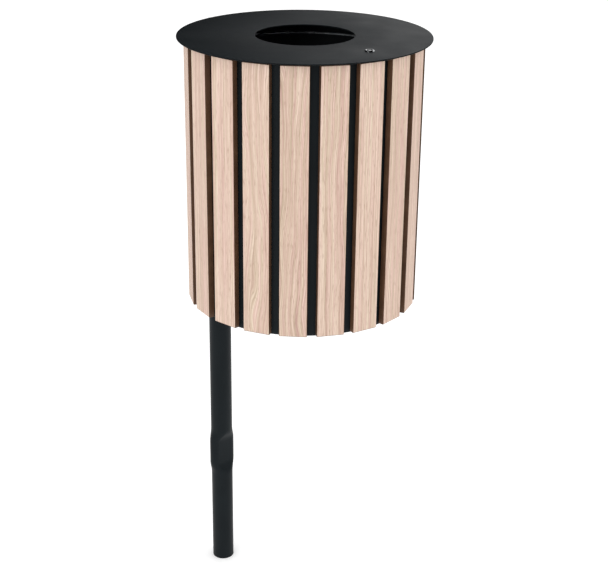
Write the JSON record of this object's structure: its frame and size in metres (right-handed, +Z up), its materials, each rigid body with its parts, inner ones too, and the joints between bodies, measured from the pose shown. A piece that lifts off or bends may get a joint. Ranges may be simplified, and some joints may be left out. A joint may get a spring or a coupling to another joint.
{
  "type": "litter bin",
  "caption": "Round post-mounted litter bin: slatted casing, hinged lid with a round opening and cam lock, lift-out bucket with wire handles, one cast-in post.",
  "frame": {"origin": "centre of the post's bottom end, the end that is cast into the ground", "axes": "+Z up along the post; the bin hangs from the post towards -Y, so the lock is at the -Y side and the hinge above the origin; +X is to the right seen from the lock's side"},
  "size_m": [0.4999, 0.561, 1.3395],
  "materials": {
    "powder_black": "satin fine-texture powder coat",
    "oak_board": "matt pale oak decor on a dark brown core",
    "galvanised": "spangled hot-dip zinc",
    "zinc_fastener": "bright zinc plate",
    "chrome": "polished",
    "rubber": "matt"
  },
  "bodies": {
    "stand": {"post": "powder_black", "hinge_head": "powder_black", "hinge_pin": "zinc_fastener", "hinge_pin_clip": "zinc_fastener", "lower_bracket": "powder_black", "upper_bracket": "powder_black", "bracket_bolts": "zinc_fastener", "bracket_washers": "zinc_fastener", "bracket_nuts": "zinc_fastener", "backing_plates": "powder_black", "casing": "powder_black", "rim_ring": "powder_black", "floor_plate": "powder_black", "slat_screws": "zinc_fastener", "lid_buffers": "rubber", "slat_01": "oak_board", "slat_02": "oak_board", "slat_03": "oak_board", "slat_04": "oak_board", "slat_05": "oak_board", "slat_06": "oak_board", "slat_07": "oak_board", "slat_08": "oak_board", "slat_09": "oak_board", "slat_10": "oak_board", "slat_11": "oak_board", "slat_12": "oak_board", "slat_13": "oak_board", "slat_14": "oak_board", "slat_15": "oak_board", "slat_16": "oak_board", "slat_17": "oak_board", "slat_18": "oak_board", "slat_19": "oak_board", "slat_20": "oak_board"},
    "lid": {"lid_plate": "powder_black", "lid_strap": "powder_black", "strap_studs": "zinc_fastener", "strap_nuts": "zinc_fastener", "lock_barrel": "chrome", "lock_nut": "zinc_fastener"},
    "lock_core": {"lock_plug": "chrome", "lock_cam": "zinc_fastener", "cam_screw": "zinc_fastener"},
    "bucket": {"bucket_wall": "powder_black", "bucket_base": "powder_black", "bucket_rim": "galvanised", "handle_clips": "galvanised"},
    "left_handle": {"handle_left": "galvanised"},
    "right_handle": {"handle_right": "galvanised"}
  },
  "joints": [
    {"name": "lid_hinge", "type": "hinge", "parent": "stand", "child": "lid", "pos_m": [0, -0.006, 1.32], "axis": [-1, 0, 0], "range_deg": [0, 98]},
    {"name": "lock_turn", "type": "hinge", "parent": "lid", "child": "lock_core", "pos_m": [0, -0.47, 1.33], "axis": [0, 0, -1], "range_deg": [0, 90]},
    {"name": "bucket_lift", "type": "slide", "parent": "stand", "child": "bucket", "axis": [0, 0, 1], "range_m": [0, 0.015]},
    {"name": "left_handle_swing", "type": "hinge", "parent": "bucket", "child": "left_handle", "pos_m": [-0.183, -0.286, 1.2665], "axis": [0, -1, 0], "range_deg": [-8, 175]},
    {"name": "right_handle_swing", "type": "hinge", "parent": "bucket", "child": "right_handle", "pos_m": [0.183, -0.286, 1.2665], "axis": [0, 1, 0], "range_deg": [-8, 175]}
  ]
}
